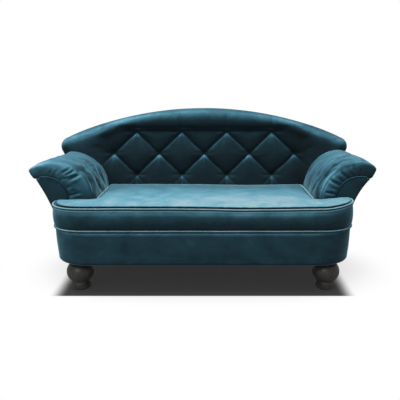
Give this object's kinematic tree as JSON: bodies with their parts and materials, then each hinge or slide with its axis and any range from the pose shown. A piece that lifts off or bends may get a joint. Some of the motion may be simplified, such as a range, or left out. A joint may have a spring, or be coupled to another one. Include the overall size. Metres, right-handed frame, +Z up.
{
  "type": "pet sofa bed",
  "caption": "Small upholstered sofa for a pet, with a tufted arched back, flared tufted arms, turned feet and a lift-off seat cushion that has a working zip.",
  "frame": {"origin": "on the floor, under the middle of the sofa", "axes": "+X to the sofa's right seen from the front, -Y to the front, +Z up"},
  "size_m": [1.0434, 0.5369, 0.5253],
  "materials": {
    "velvet": "cut-pile velvet, matte face-on with a bright sheen at grazing angles",
    "velvet_piping": "velvet-covered cord",
    "turned_wood": "dark espresso stain, satin lacquer",
    "foam": "open-cell upholstery foam",
    "softwood": "planed, unfinished",
    "plywood": "unfinished",
    "zinc_steel": "zinc plated",
    "felt": "pressed felt",
    "deck_cloth": "woven lining",
    "dust_cover": "non-woven lining",
    "twine": "waxed twine",
    "zip_tape": "woven tape",
    "zip_coil": "moulded coil",
    "zip_metal": "nickel plated"
  },
  "bodies": {
    "frame": {"arm_board_left": "plywood", "arm_board_right": "plywood", "arm_cover_left": "velvet", "arm_cover_right": "velvet", "arm_facing_left": "velvet", "arm_facing_right": "velvet", "arm_foam_left": "foam", "arm_foam_right": "foam", "arm_front_former_left": "plywood", "arm_front_former_right": "plywood", "arm_outer_panel_left": "velvet", "arm_outer_panel_right": "velvet", "arm_piping_left": "velvet_piping", "arm_piping_right": "velvet_piping", "arm_rear_former_left": "plywood", "arm_rear_former_right": "plywood", "arm_tip_rail_left": "softwood", "arm_tip_rail_right": "softwood", "back_board": "plywood", "back_brackets": "zinc_steel", "back_cover": "velvet", "back_foam": "foam", "back_outer_panel": "velvet", "back_post_left": "softwood", "back_post_right": "softwood", "back_roll_core": "foam", "base_front_cover": "velvet", "base_rear_cover": "velvet", "bracket_screws": "zinc_steel", "centre_bearer": "softwood", "corner_blocks": "softwood", "corner_former_left": "plywood", "corner_former_right": "plywood", "deck": "plywood", "deck_cloth": "deck_cloth", "deck_screws": "zinc_steel", "dust_cover": "dust_cover", "foot_bolts": "zinc_steel", "foot_glides": "felt", "foot_nuts": "zinc_steel", "front_left_foot": "turned_wood", "front_rail": "softwood", "front_right_foot": "turned_wood", "rear_left_foot": "turned_wood", "rear_rail": "softwood", "rear_right_foot": "turned_wood", "side_rail_left": "softwood", "side_rail_right": "softwood", "tuft_ties": "twine", "tuft_washers": "zinc_steel"},
    "cushion": {"cushion_cover": "velvet", "cushion_foam": "foam", "cushion_top_piping": "velvet_piping", "cushion_bottom_piping": "velvet_piping", "zip_tape": "zip_tape", "zip_teeth": "zip_coil"},
    "zip_slider": {"zip_slider": "zip_metal"},
    "zip_pull": {"zip_pull": "zip_metal"}
  },
  "joints": [
    {"name": "cushion_lift", "type": "slide", "parent": "frame", "child": "cushion", "axis": [0, 0, 1], "range_m": [0, 0.3]},
    {"name": "zip_slide", "type": "slide", "parent": "cushion", "child": "zip_slider", "axis": [1, 0, 0], "range_m": [0, 0.536]},
    {"name": "zip_pull_swing", "type": "hinge", "parent": "zip_slider", "child": "zip_pull", "pos_m": [-0.268, 0.13271, 0.2275], "axis": [1, 0, 0], "range_deg": [0, 150]}
  ]
}
